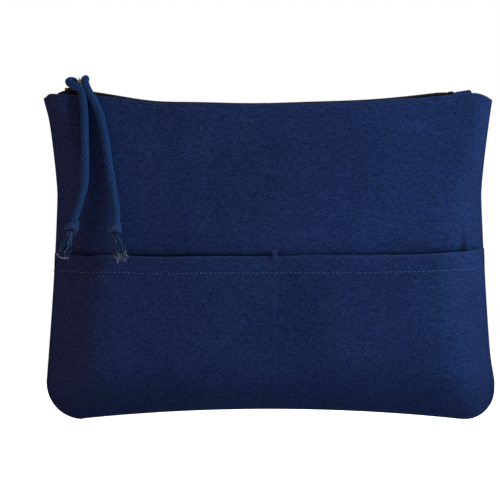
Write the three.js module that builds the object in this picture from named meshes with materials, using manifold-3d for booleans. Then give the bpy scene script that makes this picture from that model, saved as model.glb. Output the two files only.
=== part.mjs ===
// Travel document organizer: a flat canvas pouch with a coil zip along its top edge, two open pockets
// on its front, and a knotted cotton cord as the zip's pull. Every panel, tape, thread and fitting is
// its own closed solid.
//
// Millimetres. +X runs along the zip, -Y out of the front, +Z up. Shapes are worked out from the seam
// plane (y 0, halfway between front and back panel) and from the lowest point of the pouch (z 0); the
// last lines move the finished group so that its origin is the centre of the flat back.

import * as THREE from "three";
import { mergeVertices } from "three/addons/utils/BufferGeometryUtils.js";
import Module from "manifold-3d";

const wasm = await Module();
wasm.setup();

// ---------------------------------------------------------------- driving dimensions

// Outline, seen from the front.
const HALF_WIDTH = 133.8; // at the four corners
const WAIST_HALF_WIDTH = 126.9; // where the filled pouch draws its sides in
const WAIST_Z = 134;
const CORNER_TOP_Z = 192;
const LEFT_CORNER_RADIUS = 22; // bottom corners
const RIGHT_CORNER_RADIUS = 16;
const BOTTOM_LIFT = 6; // the bottom seam rises this much at mid width
const BOTTOM_LOW_X = 115; // and is lowest here
const MID_HEIGHT = 98;

// The closed zip sags between its ends along a circle.
const ZIP_RADIUS = 777;
const ZIP_LOW_Z = 186.4; // the tapes' mid plane at mid width
const EDGE_ABOVE_TAPE = 0.8;
const DROOP_START = 121; // past here the tapes and the top edge fall to the corner

// Depths from the seam plane, to the outer face of each panel.
const RIM_DEPTH = 1.15; // at the side and bottom seam
const FRONT_DEPTH = 19;
const BACK_DEPTH = 10;
const MOUTH_DEPTH = 8.4; // beside the zip
const SIDE_BAND = 30; // how far in from the side seam the pouch reaches its full depth
const BOTTOM_BAND = 32;
const MOUTH_BAND = 8;

// Cloth.
const CANVAS = 1.0;
const TAPE = 0.6;
const THREAD = 0.5;
const THREAD_GAP = 0.4;

// Pockets.
const DIVIDER_X = 3;
const DIVIDER_HALF_GAP = 0.6;
const POCKET_GAP = 0.8; // where the pocket is sewn down
const POCKET_SLACK = 4.6; // how far the middle of a pocket stands off the panel
const POCKET_BAND = 12;
const HEM = 10.5;

// Zip.
const COIL_PITCH = 3.6;
const COIL_SWING = 0.7; // how far the line between the rows zigzags to each side
const COIL_GAP = 0.44; // between the rows, across the zip
const COIL_BACK = 2.4;
const COIL_BOTTOM = 0.5;
const COIL_TOP = 2.1;
const TAPE_EDGE = 1.2; // from the middle of the zip to the tape's inner edge
const TAPE_TURN = 6.7; // where the tape turns down behind the panel
const TAPE_TAIL = 9;
const ZIP_LEFT = -125;
const ZIP_RIGHT = 118.5;
const COIL_LEFT = -120.6;
const COIL_RIGHT = 107;

// Slider, at rest at the closed (left) end.
const SLIDER_X = -114.5;
const SLIDER_HALF_LENGTH = 6;
const WEDGE_HALF_WIDTH = 0.9;
const PLATE = 0.9;
const FLOOR = -1.6; // underside of the lower plate, above the tapes' mid plane
const ROOF = 2.4; // underside of the upper plate
const BAIL_BAR = 5.6; // height of the bail's bar above the tapes' mid plane
const BAIL_BAR_HALF = 0.5;
const LINK_WIDTH = 2.4; // of the flat strip it is bent from
const LINK_WIRE = 0.8;
const LINK_AROUND_BAR = 1.05; // radius inside the link's narrow end
const LINK_AROUND_CORD = 1.95; // radius inside its wide end
const LINK_LENGTH = 3.7; // from the bar to the middle of the wide end

// Cord.
const CORD_RADIUS = 2.4;
const CORD_IN_LINK = 1.5; // its radius where the link grips it
const KNOT_RADIUS = 4.2;

// The grid that every sheet shares, so that stacked sheets never cross. A column is a share of the
// half width, and a row a share of the height between the bottom and top edges.
const LEFT_OF_DIVIDER = (DIVIDER_X - DIVIDER_HALF_GAP) / HALF_WIDTH;
const RIGHT_OF_DIVIDER = (DIVIDER_X + DIVIDER_HALF_GAP) / HALF_WIDTH;
const HALF_COLUMNS = [0.2, 0.38, 0.56, 0.72, 0.84, 0.91, 0.95, 0.98, 1];
const COLUMNS = [
  ...HALF_COLUMNS.map((u) => -u).reverse(),
  LEFT_OF_DIVIDER,
  RIGHT_OF_DIVIDER,
  ...HALF_COLUMNS,
];
const ROWS = [0, 0.04, 0.1, 0.18, 0.28, 0.4, 0.503, 0.505, 0.62, 0.74, 0.85, 0.93, 1];
const LAST_COLUMN = COLUMNS.length - 1;
const LAST_ROW = ROWS.length - 1;
const DIVIDER_COLUMN = HALF_COLUMNS.length; // the column left of the divider
const LIP_ROW = 6; // top row of the pockets, and of the front panel's lower part behind them
const LIP_SHARE = ROWS[LIP_ROW];

// ---------------------------------------------------------------- materials

const canvas = new THREE.MeshStandardMaterial({ color: 0x16264c, roughness: 0.92, metalness: 0 });
const tapeCloth = new THREE.MeshStandardMaterial({ color: 0x0a0b10, roughness: 0.8, metalness: 0 });
const nylon = new THREE.MeshStandardMaterial({ color: 0x08080a, roughness: 0.45, metalness: 0 });
const thread = new THREE.MeshStandardMaterial({ color: 0x2f4478, roughness: 0.7, metalness: 0 });
const nickel = new THREE.MeshStandardMaterial({ color: 0xb8b2a8, roughness: 0.28, metalness: 1 });
const cotton = new THREE.MeshStandardMaterial({ color: 0x1a3561, roughness: 0.9, metalness: 0 });

// ---------------------------------------------------------------- shape of the pouch

const lerp = (a, b, t) => a + (b - a) * t;
const smooth = (t) => THREE.MathUtils.smoothstep(t, 0, 1);

// Height of the tapes' mid plane at x.
function zipZ(x) {
  const alongArc = Math.min(Math.abs(x), DROOP_START);
  const arc = ZIP_LOW_Z + ZIP_RADIUS - Math.sqrt(ZIP_RADIUS ** 2 - alongArc ** 2);
  const past = (Math.abs(x) - DROOP_START) / (HALF_WIDTH - DROOP_START);
  return lerp(arc, CORNER_TOP_Z - EDGE_ABOVE_TAPE, smooth(past));
}

const topEdge = (x) => zipZ(x) + EDGE_ABOVE_TAPE;

const bottomCurve = (x) => BOTTOM_LIFT * Math.max(0, 1 - (x / BOTTOM_LOW_X) ** 2);

function bottomEdge(x) {
  const radius = x < 0 ? LEFT_CORNER_RADIUS : RIGHT_CORNER_RADIUS;
  const past = Math.min(Math.abs(x) - (HALF_WIDTH - radius), radius);
  if (past > 0) return radius - Math.sqrt(radius ** 2 - past ** 2);
  return bottomCurve(x);
}

// Height of row v at x. Only the lowest rows follow the rounded corners.
function rowZ(x, v) {
  const below = 1 - v;
  const corner = below ** 3;
  return v * topEdge(x) + corner * bottomEdge(x) + (below - corner) * bottomCurve(x);
}

function halfWidthAt(z) {
  const reach = z > WAIST_Z ? CORNER_TOP_Z - WAIST_Z : WAIST_Z - LEFT_CORNER_RADIUS;
  const away = Math.min(Math.abs(z - WAIST_Z) / reach, 1);
  return WAIST_HALF_WIDTH + (HALF_WIDTH - WAIST_HALF_WIDTH) * away ** 1.3;
}

// Where column u and row v meet, and how far that is from the side and bottom seams.
function spot(u, v) {
  const z = rowZ(u * HALF_WIDTH, v);
  const halfWidth = halfWidthAt(z);
  return {
    x: u * halfWidth,
    z,
    fromSide: (1 - Math.abs(u)) * halfWidth,
    fromBottom: z - bottomEdge(u * HALF_WIDTH),
  };
}

// 0 at a seam, 1 from a band's width inwards, leaving the seam at a finite slope.
const swell = (distance, band) => 1 - (1 - Math.min(distance / band, 1)) ** 2.4;

// Depth of a panel's outer face: full in the lower part, narrowing to the mouth from narrowFrom up.
function depth(u, v, full, narrowFrom) {
  const { fromSide, fromBottom } = spot(u, v);
  const towardsMouth = smooth((v - narrowFrom) / (1 - narrowFrom));
  const middle = lerp(full, MOUTH_DEPTH, towardsMouth);
  const band = lerp(SIDE_BAND, MOUTH_BAND, towardsMouth);
  return RIM_DEPTH + (middle - RIM_DEPTH) * swell(fromSide, band) * swell(fromBottom, BOTTOM_BAND);
}
const frontDepth = (u, v) => depth(u, v, FRONT_DEPTH, 0.4);
const backDepth = (u, v) => depth(u, v, BACK_DEPTH, 0.62);

// How far a pocket stands off the front panel.
function pocketGap(u, v) {
  const { x, fromSide, fromBottom } = spot(u, v);
  const fromDivider = Math.abs(x - DIVIDER_X) - DIVIDER_HALF_GAP;
  const sideways = smooth(fromDivider / POCKET_BAND) * smooth(fromSide / SIDE_BAND);
  return POCKET_GAP + POCKET_SLACK * sideways * smooth(fromBottom / BOTTOM_BAND);
}

// ---------------------------------------------------------------- building blocks

function named(name, geometry, material) {
  const mesh = new THREE.Mesh(geometry, material);
  mesh.name = name;
  return mesh;
}

// Moves every vertex of a geometry to where place(x, y, z) says.
function remap(geometry, place) {
  const p = geometry.attributes.position;
  for (let i = 0; i < p.count; i++) p.setXYZ(i, ...place(p.getX(i), p.getY(i), p.getZ(i)));
  return geometry;
}

// BoxGeometry splits the squares of its +y and -y faces along opposite diagonals. This turns the +y
// ones, so that stacked sheets are faceted alike and keep their distance everywhere.
function alignDiagonals(geometry) {
  const { start, count } = geometry.groups[2];
  const corners = geometry.index.array;
  for (let i = start; i < start + count; i += 6) {
    const [a, b, d, , c] = corners.slice(i, i + 6);
    corners.set([a, b, c, a, c, d], i);
  }
  return geometry;
}

// A closed sheet over a block of the grid, between the depths yFront(u, v) and yRear(u, v).
function sheet(name, material, [firstColumn, lastColumn], [firstRow, lastRow], yFront, yRear) {
  const across = lastColumn - firstColumn;
  const up = lastRow - firstRow;
  const grid = alignDiagonals(new THREE.BoxGeometry(1, 1, 1, across, 1, up));
  const geometry = remap(grid, (a, b, c) => {
    const u = COLUMNS[firstColumn + Math.round((a + 0.5) * across)];
    const v = ROWS[firstRow + Math.round((c + 0.5) * up)];
    const { x, z } = spot(u, v);
    return [x, b < 0 ? yFront(u, v) : yRear(u, v), z];
  });
  return named(name, geometry, material);
}

// A value that is linear between the grid's rows, as the sheets are.
function betweenRows(value, u, v) {
  const above = Math.max(1, ROWS.findIndex((row) => row >= v));
  const share = (v - ROWS[above - 1]) / (ROWS[above] - ROWS[above - 1]);
  return lerp(value(u, ROWS[above - 1]), value(u, ROWS[above]), share);
}

// A sewn line of square section through points [x, y, z]. It is thickened along y and along its
// other cross axis: x for an upright line, z for a level one.
function seam(name, points, upright = false) {
  const last = points.length - 1;
  const geometry = remap(new THREE.BoxGeometry(1, 1, 1, last, 1, 1), (a, b, c) => {
    const [x, y, z] = points[Math.round((a + 0.5) * last)];
    return upright ? [x - c * THREAD, y + b * THREAD, z] : [x, y + b * THREAD, z + c * THREAD];
  });
  return named(name, geometry, thread);
}

// A point above the zip: x along it, y across it, n above the tapes' mid plane.
function onZip(x, y, n) {
  const slope = Math.asin(x / ZIP_RADIUS);
  return [x - n * Math.sin(slope), y, zipZ(x) + n * Math.cos(slope)];
}

function polygon(points) {
  return new THREE.Shape(points.map(([a, b]) => new THREE.Vector2(a, b)));
}

// A section given as [y, n] points, run along the zip from x = from to x = to.
function alongZip(section, from, to, steps) {
  const geometry = new THREE.ExtrudeGeometry(polygon(section), {
    depth: to - from,
    steps,
    bevelEnabled: false,
  });
  return remap(geometry, (y, n, x) => onZip(from + x, y, n));
}

function slab(outline, from, to) {
  const geometry = new THREE.ExtrudeGeometry(outline, { depth: to - from, bevelEnabled: false });
  return geometry.translate(0, 0, from);
}

function tube(points, radius, steps, sides = 10) {
  const path = new THREE.CatmullRomCurve3(points.map((p) => new THREE.Vector3(...p)));
  const round = Array.from({ length: sides }, (_, i) => {
    const angle = (2 * Math.PI * i) / sides;
    return [radius * Math.cos(angle), radius * Math.sin(angle)];
  });
  return new THREE.ExtrudeGeometry(polygon(round), { steps, extrudePath: path, bevelEnabled: false });
}

function toSolid(geometry) {
  const bare = geometry.clone();
  bare.deleteAttribute("normal");
  bare.deleteAttribute("uv");
  const merged = mergeVertices(bare, 1e-4);
  const vertProperties = merged.attributes.position.array;
  return new wasm.Manifold(
    new wasm.Mesh({ numProp: 3, vertProperties, triVerts: new Uint32Array(merged.index.array) }),
  );
}

function toGeometry(solid) {
  const { vertProperties, triVerts } = solid.getMesh();
  return new THREE.BufferGeometry()
    .setAttribute("position", new THREE.BufferAttribute(vertProperties, 3))
    .setIndex(new THREE.BufferAttribute(triVerts, 1));
}

const joined = (...geometries) => toGeometry(geometries.map(toSolid).reduce((a, b) => a.add(b)));

// ---------------------------------------------------------------- panels

const ALL_COLUMNS = [0, LAST_COLUMN];

const inside = (depthOf) => (u, v) => depthOf(u, v) - CANVAS;
const negative = (depthOf) => (u, v) => -depthOf(u, v);

// The front panel is one cloth, in two parts that meet behind the pockets' top edges, where it
// folds as the mouth opens.
function frontPanel(part, rows) {
  return sheet(`front_panel_${part}`, canvas, ALL_COLUMNS, rows,
    negative(frontDepth), negative(inside(frontDepth)));
}

function backPanel() {
  return sheet("back_panel", canvas, ALL_COLUMNS, [0, LAST_ROW], inside(backDepth), backDepth);
}

// ---------------------------------------------------------------- pockets

const pocketInner = (u, v) => frontDepth(u, v) + pocketGap(u, v);
const pocketOuter = (u, v) => pocketInner(u, v) + CANVAS;

// The line of stitches that holds down a pocket's folded hem.
function hemStitching(name, columns) {
  const points = columns.map((u) => {
    const height = topEdge(u * HALF_WIDTH) - bottomEdge(u * HALF_WIDTH);
    const v = LIP_SHARE - HEM / height;
    const { x, z } = spot(u, v);
    return [x, -betweenRows(pocketOuter, u, v) - THREAD_GAP - THREAD / 2, z];
  });
  return seam(name, points);
}

function pocket(side, columns) {
  const sewn = side === "left" ? COLUMNS.slice(1, columns[1] + 1) : COLUMNS.slice(columns[0], -1);
  return [
    sheet(`${side}_pocket_panel`, canvas, columns, [0, LIP_ROW],
      negative(pocketOuter), negative(pocketInner)),
    hemStitching(`${side}_pocket_hem_stitching`, sewn),
  ];
}

// The stitches between the two pockets, and the bar of dense stitches that ends them.
function divider() {
  const u = DIVIDER_X / HALF_WIDTH;
  const stitchY = (v) => -betweenRows(frontDepth, u, v) - THREAD_GAP - THREAD / 2;
  const rows = ROWS.slice(1, LIP_ROW + 1);
  const stitching = rows.map((v) => [spot(u, v).x, stitchY(v), spot(u, v).z]);
  const bar = new THREE.BoxGeometry(2.2, 0.8, 3);
  const { z } = spot(u, LIP_SHARE);
  bar.translate(DIVIDER_X, stitchY(LIP_SHARE) - THREAD, z + 2.2);
  return [seam("pocket_divider_stitching", stitching, true), named("pocket_divider_bartack", bar, thread)];
}

// ---------------------------------------------------------------- zip

// side is -1 for the front row and 1 for the back row.
function zipTape(name, side) {
  const half = TAPE / 2;
  const section = [
    [TAPE_EDGE, -half],
    [TAPE_TURN - TAPE, -half],
    [TAPE_TURN - TAPE, -TAPE_TAIL],
    [TAPE_TURN, -TAPE_TAIL],
    [TAPE_TURN, half],
    [TAPE_EDGE, half],
  ];
  return named(name, alongZip(section.map(([y, n]) => [side * y, n]), ZIP_LEFT, ZIP_RIGHT, 41), tapeCloth);
}

// How far a row stands aside to pass the slider's wedge.
function parting(x) {
  const clearOfWedge = COIL_SWING + WEDGE_HALF_WIDTH;
  return clearOfWedge * smooth((SLIDER_X + 1 - x) / 3);
}

// One row of the coil. The edges of the two rows zigzag side by side, so that they mesh.
function zipCoil(name, side) {
  const steps = 2 * Math.round((COIL_RIGHT - COIL_LEFT) / COIL_PITCH);
  const geometry = remap(new THREE.BoxGeometry(1, 1, 1, steps, 1, 1), (a, b, c) => {
    const step = Math.round((a + 0.5) * steps);
    const x = lerp(COIL_LEFT, COIL_RIGHT, step / steps);
    const zigzag = step % 2 ? COIL_SWING : -COIL_SWING;
    const inner = zigzag + (side * COIL_GAP) / 2;
    const y = b * side > 0 ? side * COIL_BACK : inner;
    return onZip(x, y + side * parting(x), c < 0 ? COIL_BOTTOM : COIL_TOP);
  });
  return named(name, geometry, nylon);
}

// A metal stop that closes one row off at the slider's end.
function topStop(name, side) {
  const [near, far] = [1.5, 4.4];
  const section = [[near, COIL_BOTTOM], [far, COIL_BOTTOM], [far, COIL_TOP], [near, COIL_TOP]];
  const clip = alongZip(section.map(([y, n]) => [side * y, n]), COIL_LEFT - 2, COIL_LEFT - 0.4, 1);
  return named(name, clip, nickel);
}

function bottomStop() {
  const section = [[-3, COIL_BOTTOM], [3, COIL_BOTTOM], [3, COIL_TOP + 0.2], [-3, COIL_TOP + 0.2]];
  return named("zip_bottom_stop", alongZip(section, COIL_RIGHT + 0.4, COIL_RIGHT + 2.6, 1), nickel);
}

// A strip of canvas folded over the tapes' ends: two thick plies joined past the end of the tapes.
function endTab(name, open, tapeEnd, halfWidth) {
  const outwards = Math.sign(tapeEnd);
  const end = tapeEnd + outwards * 2;
  const past = tapeEnd + outwards * 0.5;
  const outline = polygon([[open, 0.9], [past, 0.9], [past, -0.9], [open, -0.9],
    [open, -1.9], [end, -1.9], [end, 1.9], [open, 1.9]]);
  const strip = slab(outline, -halfWidth, halfWidth);
  return named(name, remap(strip, (x, n, y) => onZip(x, -y, n)), canvas);
}

// The stitches that hold a panel's top edge to its tape.
function zipStitching(name, depthOf, side) {
  const points = COLUMNS.slice(3, -3).map((u) => {
    const height = topEdge(u * HALF_WIDTH) - bottomEdge(u * HALF_WIDTH);
    const v = 1 - 2.5 / height;
    const { x, z } = spot(u, v);
    return [x, side * (betweenRows(depthOf, u, v) + THREAD_GAP + THREAD / 2), z];
  });
  return seam(name, points);
}

// ---------------------------------------------------------------- slider, ring and cord

// Half the slider's width at x: broad at its leading end, where the rows part, and narrow behind.
const sliderHalfWidth = (x) => lerp(5.6, 4, (x + 4.5) / (SLIDER_HALF_LENGTH + 4.5));

function sliderPlan() {
  const back = SLIDER_HALF_LENGTH;
  const shape = new THREE.Shape();
  shape.moveTo(-4.5, -sliderHalfWidth(-4.5));
  shape.lineTo(back - 1, -sliderHalfWidth(back - 1));
  shape.quadraticCurveTo(back, -sliderHalfWidth(back), back, -sliderHalfWidth(back) + 1.2);
  shape.lineTo(back, sliderHalfWidth(back) - 1.2);
  shape.quadraticCurveTo(back, sliderHalfWidth(back), back - 1, sliderHalfWidth(back - 1));
  shape.lineTo(-4.5, sliderHalfWidth(-4.5));
  shape.quadraticCurveTo(-back, 4.6, -back, 2.6);
  shape.lineTo(-back, -2.6);
  shape.quadraticCurveTo(-back, -4.6, -4.5, -sliderHalfWidth(-4.5));
  return shape;
}

// Two plates joined by the wedge that parts the rows, with a flange down each side of the upper one.
function sliderBody() {
  const flange = (side) => {
    const wall = 0.75;
    const ends = [-4.9, SLIDER_HALF_LENGTH - 0.3];
    const outer = ends.map((x) => [x, side * (sliderHalfWidth(x) - 0.02)]);
    const inner = ends.map((x) => [x, side * (sliderHalfWidth(x) - wall)]).reverse();
    return slab(polygon([...outer, ...inner]), 0.8, ROOF + 0.3);
  };
  const wedge = polygon([[-5.8, 0.3], [-4.6, WEDGE_HALF_WIDTH], [-3.4, WEDGE_HALF_WIDTH], [-2.2, 0.1],
    [-2.2, -0.1], [-3.4, -WEDGE_HALF_WIDTH], [-4.6, -WEDGE_HALF_WIDTH], [-5.8, -0.3]]);
  return joined(
    slab(sliderPlan(), FLOOR, FLOOR + PLATE),
    slab(sliderPlan(), ROOF, ROOF + PLATE),
    slab(wedge, FLOOR + PLATE / 2, ROOF + PLATE / 2),
    flange(1),
    flange(-1),
  );
}

function sliderBail() {
  const foot = ROOF + PLATE + 0.1;
  const arch = new THREE.Shape();
  const top = BAIL_BAR + BAIL_BAR_HALF;
  const under = BAIL_BAR - BAIL_BAR_HALF;
  arch.moveTo(-4.2, foot);
  arch.lineTo(-4.2, 5);
  arch.quadraticCurveTo(-4.1, top, -2.6, top);
  arch.lineTo(2.6, top);
  arch.quadraticCurveTo(4.1, top, 4.2, 5);
  arch.lineTo(4.2, foot);
  arch.lineTo(3, foot);
  arch.lineTo(3, 4.6);
  arch.lineTo(2.3, under);
  arch.lineTo(-2.3, under);
  arch.lineTo(-3, 4.6);
  arch.lineTo(-3, foot);
  return slab(arch, -BAIL_BAR_HALF, BAIL_BAR_HALF).rotateX(Math.PI / 2);
}

// A link of flat strip round the bail's bar and the cord. It leans over the front edge of the pouch.
const LINK_LEAN = THREE.MathUtils.degToRad(10);
const LINK_OUTLINE_ANGLE = Math.acos((LINK_AROUND_BAR - LINK_AROUND_CORD) / LINK_LENGTH);

function linkOutline(Path, wire) {
  const path = new Path();
  const turn = LINK_OUTLINE_ANGLE;
  path.absarc(LINK_LENGTH, 0, LINK_AROUND_CORD + wire, -turn, turn);
  path.absarc(0, 0, LINK_AROUND_BAR + wire, turn, 2 * Math.PI - turn);
  path.closePath();
  return path;
}

function pullLink() {
  const outline = linkOutline(THREE.Shape, LINK_WIRE);
  outline.holes.push(linkOutline(THREE.Path, 0));
  const flat = new THREE.ExtrudeGeometry(outline, {
    depth: LINK_WIDTH,
    curveSegments: 10,
    bevelEnabled: false,
  });
  return remap(flat, (along, across, x) => [
    x - LINK_WIDTH / 2,
    -along * Math.cos(LINK_LEAN) - across * Math.sin(LINK_LEAN),
    BAIL_BAR + along * Math.sin(LINK_LEAN) - across * Math.cos(LINK_LEAN),
  ]);
}

function sliderGroup() {
  const group = new THREE.Group();
  group.position.set(SLIDER_X, 0, zipZ(SLIDER_X));
  group.rotation.y = -Math.asin(SLIDER_X / ZIP_RADIUS);
  group.add(
    named("zip_slider_body", sliderBody(), nickel),
    named("zip_slider_bail", sliderBail(), nickel),
    named("pull_link", pullLink(), nickel),
  );
  return group;
}

// One hanging half of the cord: a strand, a knot, and the frayed end below it.
function cordTail(side, { strand, knot, end }) {
  const ball = new THREE.SphereGeometry(KNOT_RADIUS, 12, 8).scale(1.05, 0.9, 0.95).translate(...knot);
  const room = toSolid(new THREE.SphereGeometry(KNOT_RADIUS + 0.4, 12, 8).translate(...knot));
  const halfway = knot.map((value, i) => lerp(value, end[i], 0.5));
  const frayed = tube([knot, halfway, end], CORD_RADIUS, 3, 8);
  const cutBack = (geometry) => toGeometry(toSolid(geometry).subtract(room));
  return [
    named(`${side}_cord_tail`, cutBack(tube([...strand, knot], CORD_RADIUS, 22, 8)), cotton),
    named(`${side}_cord_knot`, ball, cotton),
    named(`${side}_cord_frayed_end`, cutBack(frayed), cotton),
  ];
}

// The cord narrowed round its own middle, which runs along x through the link.
function gripped(cord) {
  return remap(cord, (x, y, z) => {
    const share = smooth((Math.abs(x) - LINK_WIDTH / 2 - 0.3) / 1.6);
    const near = Math.abs(x) < 3 && Math.hypot(y, z) < CORD_RADIUS + 1;
    const scale = near ? lerp(CORD_IN_LINK / CORD_RADIUS, 1, share) : 1;
    return [x, y * scale, z * scale];
  });
}

// The cord passes through the link, and both its halves come forward over the pouch's edge and hang
// plumb. Points are offsets from the middle of the link's wide end.
function cordGroup() {
  const group = new THREE.Group();
  const across = -LINK_LENGTH * Math.cos(LINK_LEAN);
  group.position.set(...onZip(SLIDER_X, across, BAIL_BAR + LINK_LENGTH * Math.sin(LINK_LEAN)));
  const loop = [[2, -8.4, -7.8], [1.8, -8.3, -6.9], [1.3, -7.8, -5.4], [-0.1, -7.1, -3.7],
    [-2.8, -6.3, -2.3], [-5.4, -4.8, -0.9], [-6.2, -2.4, 0.6], [-4.4, -0.5, 0.9], [-2.1, 0, 0.1], [0, 0, 0],
    [2.1, 0, 0.1], [3.7, -0.7, 1.5], [4.3, -2.6, 2], [4.6, -4.8, 0.9], [5.3, -6, -1.6], [6.2, -7.5, -4.8],
    [6.8, -8.2, -6.9], [7.2, -8.3, -7.8]];
  const left = {
    strand: [[2, -8.4, -8.6], [2.9, -9.2, -16.8], [3.3, -10.2, -30.8], [3.6, -11.9, -46.8],
      [3.1, -13.7, -60.8], [0.6, -15.7, -70.8]],
    knot: [-4.2, -20, -86.9],
    end: [-9, -27.4, -101.4],
  };
  const right = {
    strand: [[7.3, -8.3, -8.5], [12.2, -9.4, -18.8], [15.2, -10.5, -31.8], [17.8, -12.1, -49.8],
      [20.8, -15.3, -67.8]],
    knot: [21.4, -20, -88.2],
    end: [24.8, -27.4, -101.4],
  };
  group.add(
    named("pull_cord_loop", gripped(tube(loop, CORD_RADIUS, 36, 8)), cotton),
    ...cordTail("left", left),
    ...cordTail("right", right),
  );
  return group;
}

// ---------------------------------------------------------------- assembly

const organizer = new THREE.Group();
organizer.name = "travel_document_organizer";
organizer.add(
  frontPanel("lower", [0, LIP_ROW]),
  frontPanel("upper", [LIP_ROW + 1, LAST_ROW]),
  backPanel(),
  ...pocket("left", [0, DIVIDER_COLUMN]),
  ...pocket("right", [DIVIDER_COLUMN + 1, LAST_COLUMN]),
  ...divider(),
  zipTape("front_zip_tape", -1),
  zipTape("back_zip_tape", 1),
  zipCoil("front_zip_coil", -1),
  zipCoil("back_zip_coil", 1),
  topStop("front_zip_top_stop", -1),
  topStop("back_zip_top_stop", 1),
  bottomStop(),
  endTab("left_zip_end_tab", -123.2, ZIP_LEFT, 3.4),
  endTab("right_zip_end_tab", 110.6, ZIP_RIGHT, 5.6),
  zipStitching("front_zip_stitching", frontDepth, -1),
  zipStitching("back_zip_stitching", backDepth, 1),
  sliderGroup(),
  cordGroup(),
);
organizer.position.set(0, -BACK_DEPTH, -MID_HEIGHT);

const part = new THREE.Group();
part.add(organizer);
export default part;
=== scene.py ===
"""The looks of the travel document organizer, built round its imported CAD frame.

The shape functions work in millimetres, with y 0 on the seam plane between the front and back panels
and z 0 at the lowest point of the pouch. to_frame() turns such points into metres in the CAD's frame.
"""

import math

import bmesh
import bpy
import numpy as np
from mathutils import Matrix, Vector

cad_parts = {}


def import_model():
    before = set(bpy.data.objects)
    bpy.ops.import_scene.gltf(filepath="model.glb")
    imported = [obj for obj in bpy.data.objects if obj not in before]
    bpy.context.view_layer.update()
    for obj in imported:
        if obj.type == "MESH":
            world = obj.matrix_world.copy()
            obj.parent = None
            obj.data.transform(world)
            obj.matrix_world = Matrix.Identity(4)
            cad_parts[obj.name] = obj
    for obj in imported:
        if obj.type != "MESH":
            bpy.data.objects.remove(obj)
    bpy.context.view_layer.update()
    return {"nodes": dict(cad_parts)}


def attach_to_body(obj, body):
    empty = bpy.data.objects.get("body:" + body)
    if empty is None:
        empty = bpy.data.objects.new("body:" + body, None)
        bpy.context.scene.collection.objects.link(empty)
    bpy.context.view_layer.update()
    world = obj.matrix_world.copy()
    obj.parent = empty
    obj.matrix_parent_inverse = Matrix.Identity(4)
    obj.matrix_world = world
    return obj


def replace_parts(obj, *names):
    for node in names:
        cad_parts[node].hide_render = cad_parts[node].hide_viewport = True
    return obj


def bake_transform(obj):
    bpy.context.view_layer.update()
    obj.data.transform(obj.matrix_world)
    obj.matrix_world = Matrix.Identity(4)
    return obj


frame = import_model()

# ---- main dimensions, in millimetres

HALF_WIDTH = 133.8
WAIST_HALF_WIDTH = 126.9
WAIST_Z = 134.0
CORNER_TOP_Z = 192.0
LEFT_CORNER_RADIUS = 22.0
RIGHT_CORNER_RADIUS = 16.0
BOTTOM_LIFT = 6.0  # how far the bottom edge curves up in the middle
BOTTOM_LOW_X = 115.0
MID_HEIGHT = 98.0
SEAM_STAND_OUT = 0.4  # the rounded edges of the cloth reach this far past the seam line
LEFT_TOP_FLARE = 1.5
RIGHT_BOTTOM_FLARE = 1.4

ZIP_RADIUS = 777.0
ZIP_LOW_Z = 186.4
EDGE_ABOVE_TAPE = 0.8
HIGHEST_EDGE = 194.4
LEFT_END_Z = 193.5
RIGHT_END_Z = 194.3
DROOP_START = 121.0

# How far the panels stand off the seam plane, and the bands beside the seams where they swell to that.
RIM_DEPTH = 0.98  # the two panels' edges meet at the seams
FRONT_DEPTH = 19.0
BACK_DEPTH = 10.0
MOUTH_DEPTH = 8.4
SIDE_BAND = 30.0
LEFT_BAND = 40.0
BOTTOM_BAND = 32.0
MOUTH_BAND = 8.0
SWELL_POWER = 2.4
LEFT_SWELL_POWER = 2.1
SEAM_ROUND = 1.5
FRONT_NARROWS_FROM = 0.4
BACK_NARROWS_FROM = 0.62
CANVAS = 1.0

DIVIDER_X = 3.0
DIVIDER_HALF_GAP = 0.6
POCKET_GAP = 0.05
POCKET_SLACK = 3.2
POCKET_BAND = 40.0
HEM = 9.2  # from the lip down to the stitching
HEM_PLIES = 0.9
LIP = 0.498  # the pockets' upper edge, as a share of the height
FOLD = 0.504  # where the front panel's lower part ends, behind the lip
UPPER_START = 0.5
LIP_CLIMB = 2.2
LIP_CORNER_CLIMB = 1.8
TOP_STITCHING = 2.4  # from the panels' top edge down to the stitching

COIL_LEFT = -120.6
COIL_RIGHT = 107.0
TAPE_LEFT = -125.0
TAPE_RIGHT = 118.5
SLIDER_X = -114.5

CORD_RADIUS = 2.4

# ---- shape of the pouch


def lerp(a, b, t):
    return a + (b - a) * t


def smooth(t):
    t = np.clip(t, 0, 1)
    return t * t * (3 - 2 * t)


def bump(distance, width):
    """1 at distance 0, falling to 0 over about two widths."""
    return np.exp(-((distance / width) ** 2))


def to_frame(points):
    return (np.asarray(points, float) - (0, BACK_DEPTH, MID_HEIGHT)) * 0.001


def zip_arc(x):
    """Height of the zip along its arc. Slack cloth lets it sag left of the middle and at the right end."""
    arc = ZIP_LOW_Z + ZIP_RADIUS - np.sqrt(ZIP_RADIUS**2 - np.minimum(np.abs(x), DROOP_START) ** 2)
    return arc - 1.5 * bump(x + 70, 22) + 0.7 * bump(x - 25, 28) - 0.9 * smooth((x - 98) / 14)


def zip_z(x):
    """Height of the zip tapes' mid plane."""
    past = (np.abs(x) - DROOP_START) / (HALF_WIDTH - DROOP_START)
    return lerp(zip_arc(x), CORNER_TOP_Z - EDGE_ABOVE_TAPE, smooth(past))


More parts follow.
